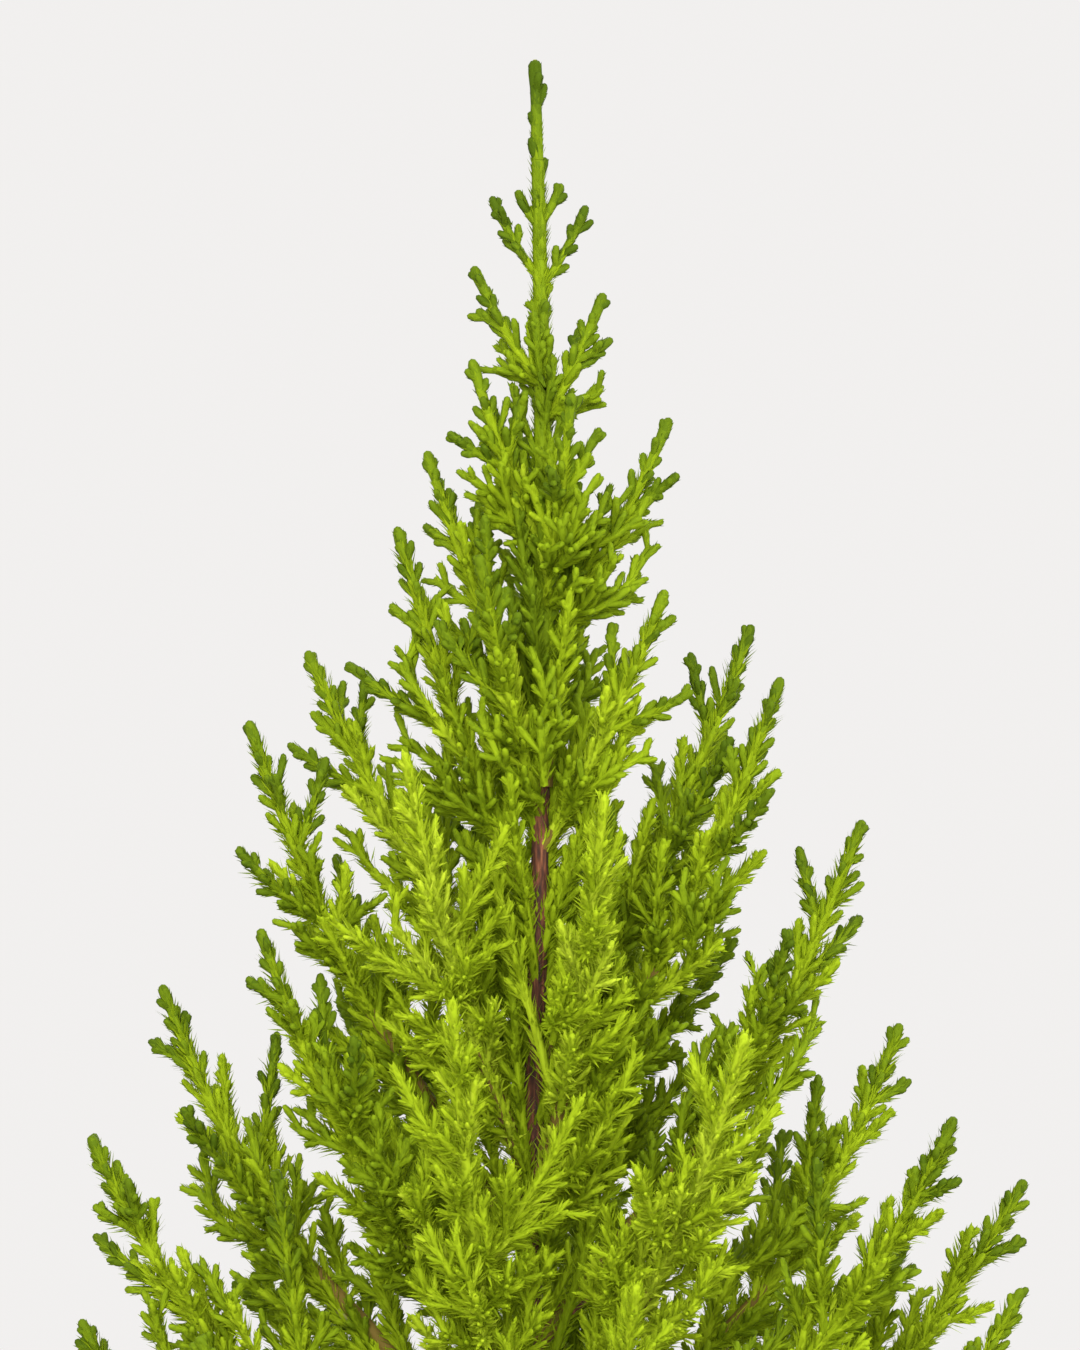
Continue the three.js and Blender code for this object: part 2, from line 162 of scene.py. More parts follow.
# Where needles turn from close to free, in mm from the tip: for tight growth near the crown's top, for
# tight growth low down, and for loose growth. Near the top they get only RIPEST_AT_TOP of the way.
SCALY_TO = (10, 2, 0)
FREE_FROM = (50, 13, 7)
RIPEST_AT_TOP = 0.6

MOST_TRIANGLES = 185_000  # in one piece

# ---- Named tones, from 0 for the darkest green to 1 for the lightest ----

PLUME_TONE, PLUME_UNEVEN = 0.695, 0.04
# Painted light on the front plumes and painted shade on the back and right ones.
PAINTED_LIGHT_BY, PAINTED_SHADE_BY = 0.11, 0.04  # for the plumes named under The plant
PALE_FEATHER = 0.7
# The filling sprays lie deep inside the masses and are darker as painted shade.
SPRAY_SHADE, FILLING_PAINTED_SHADE = 0.05, 0.08  # how much darker these are than their plume
SPIRE_TONE, LOWER_TRUNK_TONE = 0.6, 0.56  # of the shoots there
LEADER_TONE, LEADER_TOP_TONE = 0.31, 0.26
# How the tone changes with age: new growth is darkest at its very tip (its own green, and painted shade).
AGE_DISTANCES = [0, 3 * MM, 7 * MM, 16 * MM, 30 * MM, 60 * MM]
AGE_AND_PAINTED_SHADE_TONES = [-0.50, -0.46, -0.34, -0.15, -0.02, 0.0]
FEATHERY_LEFT, FEATHER_GAIN = 0.15, 2.2  # how much of that is left on feathery shoots, and how soon
OLDER_TONE = 0.07  # for side shoots far from their parent's tip
TOP_TONE = -0.05  # for the whole of the crown's top
# Painted light near the trunk at the crown's top, painted shade near it in the lower crown.
INSIDE_PAINTED_LIGHT_AND_SHADE = (0.14, -0.03)  # close to the trunk, at the crown's top and in its lower part
SPECKLE = 0.03  # from needle to needle
BROWN_BEYOND, LEADER_BROWN_BEYOND = 85 * MM, 200 * MM  # from the tip, where an axis has turned brown


# ---- Small helpers ----

def unit(vectors):
    """Vectors scaled to length 1."""
    return vectors / np.maximum(np.linalg.norm(vectors, axis=-1, keepdims=True), 1e-12)


def column(values):
    return np.asarray(values, float).reshape(-1, 1)


def smooth(value, low, high):
    """0 at low and below, 1 at high and above, with an easy curve between."""
    t = np.clip((value - low) / (high - low), 0, 1)
    return t * t * (3 - 2 * t)


def mix(a, b, share):
    return a + (b - a) * share


def lowness(height):
    """0 near the crown's top, where growth is close and clubbed, to 1 in its feathery lower part."""
    return smooth(height, LOW_FROM, LOW_TO)


def corners(node):
    """A node's vertices, each once, and its triangles as rows of three numbers of vertices."""
    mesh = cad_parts[node].data
    points = np.empty(len(mesh.vertices) * 3, np.float32)
    mesh.vertices.foreach_get("co", points)
    mesh.calc_loop_triangles()
    triangles = np.empty(len(mesh.loop_triangles) * 3, np.int32)
    mesh.loop_triangles.foreach_get("vertices", triangles)
    points, merged = np.unique(points.reshape(-1, 3).round(6), axis=0, return_inverse=True)
    return points.astype(float), merged.reshape(-1)[triangles].reshape(-1, 3)


# ---- Reading the solids ----

SPIRE = "foliage_spire"
MASSES = sorted(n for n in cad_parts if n.startswith("foliage_") and n != SPIRE)
BOUGHS = sorted(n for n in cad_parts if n.startswith("bough_"))


class Trunk:
    """The trunk's centre and radius at any height, from the rings of its solid."""

    def __init__(self):
        points, _ = corners("trunk")
        points = points[np.argsort(points[:, 2])]
        rings = np.split(points, np.flatnonzero(np.diff(points[:, 2]) > 2 * MM) + 1)
        self.centres = np.array([ring.mean(0) for ring in rings])
        self.radii = np.array([np.median(np.hypot(*(ring - ring.mean(0))[:, :2].T)) for ring in rings])
        self.foot = self.centres[0, 2]
        self.top = self.centres[-1, 2]

    def middle(self, height):
        """x and y of the trunk's middle."""
        return np.stack([np.interp(height, self.centres[:, 2], self.centres[:, k]) for k in (0, 1)], -1)

    def at(self, height):
        return np.concatenate([self.middle(height), np.expand_dims(height, -1)], -1)

    def radius(self, height):
        return np.interp(height, self.centres[:, 2], self.radii)

    def distance(self, points):
        """How far points lie from the trunk's middle, level with each."""
        return np.linalg.norm(points[:, :2] - self.middle(points[:, 2]), axis=1)

    def height(self, share):
        """The height at a share of the way from the foot to the top."""
        return self.foot + share * (self.top - self.foot)


class Outline:
    """The surface of some masses, to tell what lies inside it."""

    RAY = Vector((0.2, 0.3, 0.93)).normalized()

    def __init__(self, nodes):
        points, triangles = [], []
        for node in nodes:
            own_points, own_triangles = corners(node)
            triangles += (own_triangles + len(points)).tolist()
            points += own_points.tolist()
        self.low, self.high = np.min(points, axis=0), np.max(points, axis=0)
        self.tree = BVHTree.FromPolygons(points, triangles)

    def depth(self, points):
        """How deep each point lies inside a mass. It is below 0 outside."""
        depths = []
        for point in points:
            point = Vector(point)
            near = self.tree.find_nearest(point)[3]
            normal = self.tree.ray_cast(point, self.RAY)[1]
            inside = normal is not None and normal.dot(self.RAY) > 0
            depths.append(near if inside else -near)
        return np.array(depths)


def spikes(points, triangles):
    """The sharp points of a mass: the vertices whose triangles' corners add up to little."""
    total = np.zeros(len(points))
    for k in range(3):
        here, after, before = (points[triangles[:, (k + j) % 3]] for j in range(3))
        cosine = (unit(after - here) * unit(before - here)).sum(1)
        np.add.at(total, triangles[:, k], np.arccos(np.clip(cosine, -1, 1)))
    return points[total < SPIKE_ANGLE]


def plume_curve(trunk, points, tip):
    """Root, elbow and tip of a plume. Its solid gives the tip and a point near the trunk, and the bend
    gives the height of the root."""
    away = trunk.distance(points)
    near = points[away < away.min() + 2.5 * MM].mean(0)
    nearness = trunk.distance(near[None])[0] / trunk.distance(tip[None])[0]
    height = near[2]
    for _ in range(8):
        out, up = (np.interp(height - trunk.foot, BEND_HEIGHTS, bend) for bend in (ELBOW_OUT, ELBOW_UP))
        share = up / out * nearness
        height = (near[2] - share * tip[2]) / (1 - share)
    root = trunk.at(height)
    elbow = root + out * (tip - root) * [1, 1, 0] + up * (tip - root) * [0, 0, 1]
    return root, elbow, tip


# ---- Shoots ----

class Shoots:
    """Many shoots at once. Each is a quadratic curve from root to tip, with a row in every array.

    mass is the number of the mass that a shoot belongs to, with the leader's after the last. order is 0
    for a plume's own axis, 1 for a spray, 2 for a side shoot and 3 for a twig. feather is 0 for close
    clubbed growth and 1 for loose growth. beyond is how far the growth goes on past the tip, as it does
    where a shoot is one stretch of the leader.
    """

    def __init__(self, root, elbow, tip, mass, order, tone, feather=0.0, beyond=0.0):
        points = (np.asarray(a, float).reshape(-1, 3) for a in (root, elbow, tip))
        self.root, self.elbow, self.tip = points
        count = len(self.root)
        self.mass = np.asarray(mass, int)
        self.order = np.full(count, order)
        self.tone, self.feather, self.beyond = (np.full(count, 0.0) + a for a in (tone, feather, beyond))
        line = np.stack([self.point(EVERY, share) for share in np.linspace(0, 1, 9)])
        self.length = np.linalg.norm(np.diff(line, axis=0), axis=2).sum(0)
        self.aside = unit(rng.normal(size=(count, 3)))
        self.phase = rng.uniform(0, 2 * pi, count)

    def __len__(self):
        return len(self.root)

    def point(self, i, share):
        s = column(share)
        return (1 - s) ** 2 * self.root[i] + 2 * s * (1 - s) * self.elbow[i] + s * s * self.tip[i]

    def heading(self, i, share):
        s = column(share)
        return unit((1 - s) * (self.elbow[i] - self.root[i]) + s * (self.tip[i] - self.elbow[i]))

    def around(self, i, share, turn):
        """Heading, and the direction across it at a turn about it."""
        along = self.heading(i, share)
        u = unit(np.cross(along, self.aside[i]))
        v = np.cross(along, u)
        return along, column(np.cos(turn)) * u + column(np.sin(turn)) * v

    def sampled(self, step):
        """Points about a step apart along every shoot, and the headings there."""
        counts = (self.length / step).astype(int) + 1
        rows, k = counted(counts)
        share = (k + 0.5) / counts[rows]
        return self.point(rows, share), self.heading(rows, share)


def joined(*groups):
    """Several lots of shoots as one, keeping what each has."""
    whole = object.__new__(Shoots)
    for field in vars(groups[0]):
        setattr(whole, field, np.concatenate([getattr(group, field) for group in groups]))
    return whole


def some_of(shoots, chosen):
    """The chosen rows of some shoots."""
    part = object.__new__(Shoots)
    for field, values in vars(shoots).items():
        setattr(part, field, values[chosen])
    return part


def counted(counts):
    """For rows with these counts of things on them: the row and the place in its row of each thing."""
    rows = np.repeat(np.arange(len(counts)), counts)
    first = np.repeat(np.cumsum(counts) - counts, counts)
    return rows, np.arange(len(rows)) - first


def grow(parents, rule, order):
    """Side shoots in a spiral along each parent, longer the further they are from its tip."""
    room = parents.length * (1 - rule["bare"]) - rule["first"] * (parents.beyond == 0)
    rows, k = counted(np.maximum(room / rule["spacing"], 0).astype(int))
    from_end = (k + rng.uniform(-UNEVEN["place"], UNEVEN["place"], len(k))) * rule["spacing"]
    from_end += rule["first"] * (parents.beyond[rows] == 0)
    share = np.clip(1 - from_end / parents.length[rows], 0, 1)
    turn = parents.phase[rows] + k * GOLDEN_TURN + rng.normal(0, UNEVEN["turn"], len(k))
    from_tip = from_end + parents.beyond[rows]
    age = smooth(from_tip, *AGED)
    length = rule["start"] + rule["growth"] * from_tip ** 2 / (from_tip + rule["slow"])
    length = np.minimum(length, rule["longest"]) * rng.uniform(*UNEVEN["length"], len(k))
    length *= np.where(rng.uniform(0, 1, len(k)) < STRONG["share"], STRONG["growth"], 1)
    lean = np.radians(rule["lean"] * (1 - AGED_LEAN * age) + rng.normal(0, UNEVEN["lean"], len(k)))
    along, across = parents.around(rows, share, turn)
    heading = unit(column(np.cos(lean)) * along + column(np.sin(lean)) * across + rule["rise"] * UP)
    root = parents.point(rows, share)
    elbow = root + heading * column(length * 0.5)
    tip = elbow + unit(heading + rule["curl"] * along) * column(length * 0.5)
    tone = parents.tone[rows] - SPRAY_SHADE * (order == 1) + OLDER_TONE * age
    tone += rng.normal(0, UNEVEN["tone"], len(k))
    feather = np.maximum(parents.feather[rows], AGED_FEATHER * age)
    keep = length > rule["shortest"]
    mass = parents.mass[rows][keep]
    return Shoots(root[keep], elbow[keep], tip[keep], mass, order, tone[keep], feather[keep])


def kept_in(shoots, outline):
    """Shoots cut back to near the crown's outline. Those that even so stray too far are left out."""
    stray = np.where(shoots.mass == len(MASSES), LEADER_STRAY, STRAY)
    for shorter in CUT_BACK:
        out = outline.depth(shoots.tip) < -stray
        for end in (shoots.elbow, shoots.tip):
            end[out] = mix(shoots.root[out], end[out], shorter)
        shoots.length[out] *= shorter
    out = outline.depth(shoots.tip) < -stray
    return some_of(shoots, ~out & (shoots.length > LEAST_SHOOT))


def clear_of_trunk(shoots, trunk):
    """The shoots that leave the trunk in view from the front, where the crown is open there."""
    hiding = np.zeros(len(shoots), bool)
    low, high = (trunk.height(share) for share in WINDOW["heights"])
    for share in (0.35, 0.6, 0.8, 1.0):
        x, y, z = shoots.point(EVERY, share).T
        aside = np.abs(x - trunk.middle(z)[:, 0])
        hiding |= (z > low) & (z < high) & (aside < WINDOW["half_width"]) & (y < 0)
    return some_of(shoots, ~hiding)


def in_bounds(shoots, outline, trunk):
    """Shoots that keep to the crown's outline and leave the trunk in view."""
    return clear_of_trunk(kept_in(shoots, outline), trunk)


# ---- The crown's own shape ----

def spray_towards(target, points, headings):
    """Root, elbow and reach of a spray that ends at a target, from the best of the given points on older
    shoots, and the angle at which it leaves."""
    towards = target - points
    reach = np.linalg.norm(towards, axis=1)
    angle = np.arccos(np.clip((unit(towards) * headings).sum(1), -1, 1))
    best = (np.abs(angle - SPRAY_LEAN) + REACH_COST * np.maximum(reach - LONG_REACH, 0)).argmin()
    elbow = (points[best] + target) / 2 - UP * SPRAY_SAG * reach[best]
    return points[best], elbow, reach[best], angle[best]


def read_plumes(trunk):
    """The plumes' own axes and their side sprays, from the points of the masses, as rows of root, elbow,
    tip and number of the mass."""
    plumes, sprays = [], []
    for index, node in enumerate(MASSES):
        points, triangles = corners(node)
        tip = points[points[:, 2].argmax()]
        limb = node.replace("foliage_", "bough_")
        inner = corners(limb)[0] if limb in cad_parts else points
        root, elbow, tip = plume_curve(trunk, inner, tip)
        plumes.append((root, elbow, tip, index))
        line = Shoots([root], [elbow], [tip], [index], 0, 0.5)
        shares = np.linspace(0.05, 0.9, 60)
        on_line, heading = line.point(0, shares), line.heading(0, shares)
        for spike in spikes(points, triangles):
            from_axis = np.linalg.norm(on_line - spike, axis=1).min()
            if from_axis < SPIKE_FROM_AXIS or spike[2] > tip[2] - SPIKE_FROM_TIP:
                continue
            start, bend, reach, _ = spray_towards(spike, on_line, heading)
            if reach > LEAST_REACH:
                sprays.append((start, bend, spike, index))
    return plumes, sprays


def read_spire(trunk):
    """The side shoots of the leader's tip, which bulge outward, as rows like those of sprays."""
    sharp = spikes(*corners(SPIRE))
    rows = []
    for tip in sharp[trunk.distance(sharp) > SPIRE_FROM_TRUNK]:
        out = trunk.distance(tip[None])[0]
        root = trunk.at(tip[2] - out / tan(SPIRE_LEAN))
        elbow = (root + tip) / 2 + (tip - root) * [0.12, 0.12, -0.05]
        rows.append((root, elbow, tip, len(MASSES)))
    return rows


def filling_sprays(shoots, index, tone, feather, widest_gap):
    """Sprays into the parts of one mass that its plume and sprays leave empty, the emptiest first."""
    outline = Outline([MASSES[index]])
    size = outline.high - outline.low
    count = int(np.prod(size) / FILLING["step"] ** 3)
    empty = outline.low + rng.uniform(0, 1, (count, 3)) * size
    inset = mix(FILLING["top_inset"], FILLING["inset"], lowness(empty[:, 2]))
    empty = empty[outline.depth(empty) > inset]
    points, headings = some_of(shoots, shoots.mass == index).sampled(FILLING["sampled"])
    gap = np.array([np.linalg.norm(points - place, axis=1).min() for place in empty])
    away = gap.copy()
    rows = []
    while len(empty) and (gap > widest_gap).any():
        chosen = np.where(gap > widest_gap, away, 0).argmax()
        start, bend, reach, angle = spray_towards(empty[chosen], points, headings)
        gap[chosen] = 0
        upward = empty[chosen, 2] - start[2] > FILLING["upward"] * reach
        fits = FILLING["shortest"] < reach < FILLING["longest"]
        if not (upward and fits and angle < FILLING["widest_angle"]):
            continue
        spray = Shoots([start], [bend], [empty[chosen]], [index], 1, tone, feather)
        rows.append(spray)
        more, more_headings = spray.sampled(FILLING["sampled"])
        points, headings = np.concatenate([points, more]), np.concatenate([headings, more_headings])
        gap = np.minimum(gap, np.linalg.norm(empty[:, None] - more[None], axis=2).min(1))
    return rows


def trunk_stretches(trunk, low, high, count, tone):
    """A length of the trunk as curves end to end, whose tips know how far the leader goes on."""
    heights = np.linspace(low, high, count + 1)
    ends, middles = trunk.at(heights), trunk.at((heights[:-1] + heights[1:]) / 2)
    elbows = 2 * middles - (ends[:-1] + ends[1:]) / 2
    mass = np.full(count, len(MASSES))
    return Shoots(ends[:-1], elbows, ends[1:], mass, 0, tone, 0, trunk.top - heights[1:])


def as_shoots(rows, order, tone, feather=0.0):
    """Rows of root, elbow, tip and number of the mass as shoots of one order."""
    root, elbow, tip, mass = zip(*rows)
    return Shoots(root, elbow, tip, mass, order, tone, feather)


# ---- Meshes ----

def add_object(name, data):
    """A new object in the scene."""
    added = bpy.data.objects.new(name, data)
    scene.collection.objects.link(added)
    return added


def make_piece(name, points, triangles, materials, tints=None, smoothed=False):
    """A mesh object. tints gives the number of each triangle's material."""
    mesh = bpy.data.meshes.new(name)
    mesh.vertices.add(len(points))
    mesh.vertices.foreach_set("co", np.asarray(points, np.float32).ravel())
    mesh.loops.add(triangles.size)
    mesh.loops.foreach_set("vertex_index", np.asarray(triangles, np.int32).ravel())
    mesh.polygons.add(len(triangles))
    mesh.polygons.foreach_set("loop_start", np.arange(0, triangles.size, 3, dtype=np.int32))
    if tints is not None:
        mesh.polygons.foreach_set("material_index", np.asarray(tints, np.int32))
    mesh.polygons.foreach_set("use_smooth", np.full(len(triangles), smoothed))
    for material in materials:
        mesh.materials.append(material)
    mesh.update(calc_edges=True)
    return add_object(name, mesh)


def stand_for(piece, slot, *nodes):
    """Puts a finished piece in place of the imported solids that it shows."""
    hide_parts(*nodes)
    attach(piece, "root")


AWL_FACES = np.array([[0, 1, 3], [0, 3, 2]])


def awls(base, along, across, length, width, lean):
    """Needles of two faces folded along the middle: a foot, a shoulder on each side, and a sharp tip."""
    lean = column(lean)
    out = unit(np.cos(lean) * along + np.sin(lean) * across)
    side = unit(np.cross(along, across))
    under = np.cross(side, out)
    shoulder = base + out * column(length) * NEEDLE["widest"] - under * column(width) * NEEDLE["fold"]
    half = side * column(width) / 2
    tip = base + unit(out + 0.2 * along) * column(length)
    return np.stack([base, shoulder + half, shoulder - half, tip], 1)


def ripeness(shoots, rows, from_tip):
    """0 for the close scales of a tip, 1 for free needles. Needles stay closer near the crown's top."""
    low, loose = lowness(shoots.root[rows, 2]), shoots.feather[rows]
    start, end = (mix(mix(high_up, low_down, low), free, loose) * MM
                  for high_up, low_down, free in (SCALY_TO, FREE_FROM))
    return mix(RIPEST_AT_TOP, 1, low) * smooth(from_tip, start, end)


def thickness(shoots, rows, from_tip):
    """A shoot's radius at a distance from its tip."""
    club, slim = (np.interp(from_tip, *np.array(shape).T * MM) for shape in (CLUB, SLIM))
    order = shoots.order[rows]
    radius = mix(club, slim, np.array(ORDER_SLIMMING)[order] * shoots.feather[rows])
    neck = (order > 1) * smooth(from_tip, *NECK)
    leader = (order == 0) & (shoots.mass[rows] == len(MASSES))
    girth = np.where(leader, LEADER_GIRTH, 1) * np.array(ORDER_GIRTH)[order]
    return radius * girth * (1 - SHOOT_NECK * neck)


def needles_on(shoots):
    """Needles up the shoots, in a spiral. New growth has fewer, and they lie close to it."""
    counts = (shoots.length / MM * np.array(NEEDLE["per_mm"])[shoots.order]).astype(int) + 1
    rows, k = counted(counts)
    share = (k + rng.uniform(0, 1, len(k))) / counts[rows]
    from_tip = (1 - share) * shoots.length[rows] + shoots.beyond[rows]
    ripe = ripeness(shoots, rows, from_tip)
    wanted = mix(NEEDLE["young_share"], 1, ripe)
    bare = BARE_TIP * (1 - shoots.feather[rows])
    keep = (rng.uniform(0, 1, len(k)) < wanted) & (from_tip > bare)
    rows, k, share, from_tip, ripe = (a[keep] for a in (rows, k, share, from_tip, ripe))
    turn = shoots.phase[rows] + k * GOLDEN_TURN + rng.normal(0, NEEDLE["uneven_turn"], len(k))
    length = mix(NEEDLE["young_length"], NEEDLE["length"], ripe) * rng.uniform(*NEEDLE["uneven"], len(k))
    width = mix(NEEDLE["young_width"], NEEDLE["width"], ripe)
    lean = mix(NEEDLE["young_lean"], NEEDLE["lean"], ripe)
    lean = np.radians(lean + rng.normal(0, 1, len(k)) * mix(*NEEDLE["uneven_lean"], ripe))
    most = from_tip - 0.5 * MM + NEEDLE["past_tip"] * shoots.feather[rows]
    along, across = shoots.around(rows, share, turn)
    base = shoots.point(rows, share) + across * column(thickness(shoots, rows, from_tip) * NEEDLE_SEAT)
    return rows, from_tip, awls(base, along, across, np.minimum(length, most), width, lean)


def skin_of_rings(count, sides, first=0):
    """Triangles between rings of vertices that follow each other."""
    triangles = []
    for i in range(count - 1):
        for j in range(sides):
            p, q = first + i * sides + j, first + i * sides + (j + 1) % sides
            triangles += [[p, q, q + sides], [p, q + sides, p + sides]]
    return triangles


def capped(rows, triangles, sides, first_middle, last_middle):
    """Closes the two ends of a skin of rings with a point in the middle of each."""
    first, last, start = len(rows), len(rows) + 1, len(rows) - sides
    rows = rows + [first_middle, last_middle]
    for j in range(sides):
        triangles.append([first, (j + 1) % sides, j])
        triangles.append([last, start + j, start + (j + 1) % sides])
    return np.array(rows), np.array(triangles)


def stems_of(shoots, sides, places):
    """Round-ended tubes along the shoots, open where they leave their parents. places are (furthest
    distance from the tip in mm, share of the length) of each ring from the tip down, and the lesser of
    the two is used. Returns each shoot's points, the triangles that they all share, and each triangle's
    distance from the tip."""
    lap = LEADER_LAP * (shoots.beyond > 0)
    columns, distances = [shoots.tip], []
    for furthest, share_of_length in places:
        from_end = np.minimum(furthest * MM, share_of_length * (shoots.length + lap)) - lap
        distances.append(from_end)
        share = 1 - from_end / shoots.length
        uneven = np.where(lap > 0, 1, rng.uniform(0.93, 1.07, len(shoots)))
        uneven[from_end < 0] = LEADER_SUNK
        radius = thickness(shoots, EVERY, from_end + shoots.beyond) * uneven
        for turn in np.arange(sides) * 2 * pi / sides:
            _, across = shoots.around(EVERY, share, turn)
            columns.append(shoots.point(EVERY, share) + across * column(radius))
    cap = [[0, 1 + (j + 1) % sides, 1 + j] for j in range(sides)]
    pattern = np.array(cap + skin_of_rings(len(places), sides, 1))
    ring_of = [0] * sides + np.repeat(np.arange(len(places) - 1), 2 * sides).tolist()
    return np.stack(columns, 1), pattern, np.stack(distances, 1)[:, ring_of]


def in_lots(kind, mass, points, pattern, tints, materials, smoothed=False):
    """Joins many small meshes of one pattern into pieces under the limit, mass by mass."""
    counts = np.bincount(mass, minlength=len(MASSES) + 1) * len(pattern)
    lots, held = [[]], 0
    for index, count in enumerate(counts):
        if held + count > MOST_TRIANGLES:
            lots.append([])
            held = 0
        lots[-1].append(index)
        held += count
    for number, members in enumerate(lots):
        chosen = np.isin(mass, members)
        if not chosen.any():
            continue
        triangles = (np.arange(chosen.sum())[:, None, None] * points.shape[1] + pattern).reshape(-1, 3)
        piece = make_piece(f"{kind}_{number + 1}", points[chosen].reshape(-1, 3), triangles, materials,
                           tints[chosen].ravel(), smoothed)
        stand_for(piece, "foliage", *[(MASSES + [SPIRE])[m] for m in members])


# ---- Materials ----

def principled(name, colour, roughness):
    """A plain material and its shader."""
    material = bpy.data.materials.new(name)
    material.use_nodes = True
    shader = material.node_tree.nodes["Principled BSDF"]
    shader.inputs["Base Color"].default_value = (*colour, 1)
    shader.inputs["Roughness"].default_value = roughness
    return material, shader


def srgb(red, green, blue):
    """A colour given as 0 to 255 on a screen, in the renderer's own linear numbers."""
    channels = np.array([red, green, blue]) / 255
    return tuple(np.where(channels <= 0.04045, channels / 12.92, ((channels + 0.055) / 1.055) ** 2.4))


# The greens, from the shaded depth of the crown to the lime of a sunlit plume, with even steps between.
GREENS = [srgb(64, 84, 5), srgb(93, 114, 10), srgb(120, 141, 14), srgb(144, 165, 22), srgb(168, 185, 45)]
SHADES = 11
TWIG_TINT = ("twig_brown", srgb(110, 92, 40))


def foliage_materials():
    """The greens in order, and the brown of old stems last. They are plain, with a faint gloss."""
    places = np.linspace(0, 1, len(GREENS))
    tints = [(f"needle_green_{k + 1:02d}", [np.interp(share, places, c) for c in zip(*GREENS)])
             for k, share in enumerate(np.linspace(0, 1, SHADES))]
    made = []
    for name, colour in [*tints, TWIG_TINT]:
        material, shader = principled(name, colour, 0.75)
        shader.inputs["Specular IOR Level"].default_value = 0.08
        made.append(material)
    return made


def age_and_painted_shade_tone(from_tip, feather):
    """What age and painted shade add to the tone. Feathery shoots, deeper inside the crown, have less
    dark tips.
    """
    tone = np.interp(from_tip, AGE_DISTANCES, AGE_AND_PAINTED_SHADE_TONES)
    return tone * mix(1, FEATHERY_LEFT, np.minimum(FEATHER_GAIN * feather, 1))


def tint_of(tone):
    """The number of the green for a tone."""
    return np.clip((tone * SHADES).astype(int), 0, SHADES - 1)


def add_nodes(tree, *kinds):
    """A new shader node of each kind."""
    return [tree.nodes.new("ShaderNode" + kind) for kind in kinds]


def link_nodes(tree, *links):
    """Links nodes, given as rows of node, output, node and input."""
    for giver, output, taker, entry in links:
        tree.links.new(giver.outputs[output], taker.inputs[entry])


def cloudy(name, colour, roughness, stops, scale, stretch=(1, 1, 1), bump=0.0, detail=8,
           distance=0.5 * MM):
    """A material whose colour is stretched noise through a ramp of (place, colour) stops, with bump from
    the same noise."""
    material, shader = principled(name, colour, roughness)
    tree = material.node_tree
    place, mapping, pattern, ramp = add_nodes(tree, "TexCoord", "Mapping", "TexNoise", "ValToRGB")
    mapping.inputs["Scale"].default_value = stretch
    pattern.inputs["Scale"].default_value = scale
    pattern.inputs["Detail"].default_value = detail
    while len(ramp.color_ramp.elements) < len(stops):
        ramp.color_ramp.elements.new(0.5)
    for element, (where, tint) in zip(ramp.color_ramp.elements, stops):
        element.position = where
        element.color = (*tint, 1)
    link_nodes(tree, (place, "Object", mapping, "Vector"), (mapping, "Vector", pattern, "Vector"),
               (pattern, "Fac", ramp, "Fac"), (ramp, "Color", shader, "Base Color"))
    if bump:
        relief, = add_nodes(tree, "Bump")
        relief.inputs["Strength"].default_value = bump
        relief.inputs["Distance"].default_value = distance
        link_nodes(tree, (pattern, "Fac", relief, "Height"), (relief, "Normal", shader, "Normal"))
    return material, shader


def bark_material():
    """Brown bark, streaked along the trunk."""
    stops = [(0.3, srgb(40, 21, 13)), (0.47, srgb(78, 42, 24)), (0.6, srgb(116, 66, 38)),
             (0.75, srgb(158, 108, 70))]
    return cloudy("bark", srgb(96, 62, 38), 0.85, stops, 900, (1, 1, 0.16), bump=0.6)[0]


def stem_material():
    """The green skin of this year's growth."""
    stops = [(0.35, srgb(104, 112, 28)), (0.7, srgb(140, 138, 50))]
    return cloudy("green_stem", srgb(120, 126, 40), 0.6, stops, 600, (1, 1, 0.3))[0]


def clay_material():
    """Unglazed clay, a little uneven in colour."""
    stops = [(0.3, srgb(130, 72, 48)), (0.5, srgb(142, 80, 54)), (0.7, srgb(154, 92, 66))]
    return cloudy("clay", srgb(142, 80, 54), 0.9, stops, 16, (1, 1, 2.2), bump=0.25, detail=14,
                  distance=0.6 * MM)[0]


def soil_materials():
    """Dark soil, brown soil, bark chips and grit."""
    kinds = (
        ("soil_dark", srgb(30, 21, 16), srgb(52, 38, 28)),
        ("soil_brown", srgb(52, 36, 25), srgb(84, 60, 42)),
        ("soil_chip", srgb(92, 64, 42), srgb(130, 96, 66)),
        ("soil_grit", srgb(150, 142, 130), srgb(186, 178, 166)),
    )
    return [cloudy(name, dark, 0.95, [(0.3, dark), (0.7, light)], 500, bump=0.5)[0]
            for name, dark, light in kinds]


# ---- Trunk and boughs ----

TRUNK_RINGS, TRUNK_SIDES, TRUNK_RELIEF = 420, 32, 0.16
BOUGH_RINGS, BOUGH_SIDES, BOUGH_RELIEF = 36, 9, 0.14
BOUGH_THICK, BOUGH_THIN = 0.42, 0.4 * MM  # at its root, as a share of the trunk's radius, and at its end
GREEN_FROM, BOUGH_GREEN_FROM = 0.62, 0.36  # as shares of their length: this year's growth


